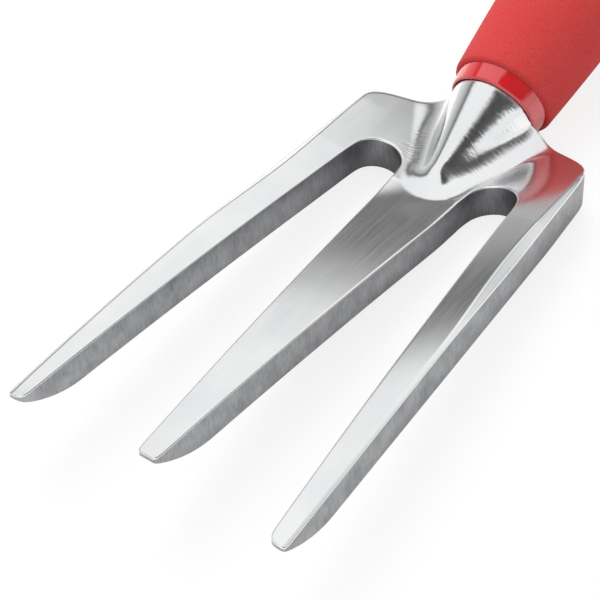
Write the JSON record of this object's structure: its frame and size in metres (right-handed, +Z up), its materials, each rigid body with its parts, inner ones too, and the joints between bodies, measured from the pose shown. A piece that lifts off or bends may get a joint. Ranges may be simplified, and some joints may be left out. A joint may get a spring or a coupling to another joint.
{
  "type": "garden hand fork",
  "caption": "Hand weeding fork: a polished cast head with long tapering tines and a conical neck, a gloss collar, and a foam-sleeved handle ending in a hanging tab.",
  "frame": {"origin": "middle of the bounding box, on the surface that the heel of the head and the front of the grip lie on", "axes": "+Y from the tine tips towards the handle, +X across the tines, +Z up, out of the dished face of the head"},
  "size_m": [0.0792, 0.2842, 0.0529],
  "materials": {
    "polished_aluminium": "polished casting with fine lengthwise brushing and ground edges",
    "gloss_red_plastic": "smooth gloss moulding",
    "red_foam": "matte closed-cell foam with a fine grain",
    "pin_steel": "plain drawn pin"
  },
  "bodies": {
    "root": {"fork_head": "polished_aluminium", "handle_core": "gloss_red_plastic", "foam_grip": "red_foam", "end_cap": "gloss_red_plastic", "tang_pin": "pin_steel"}
  },
  "joints": []
}
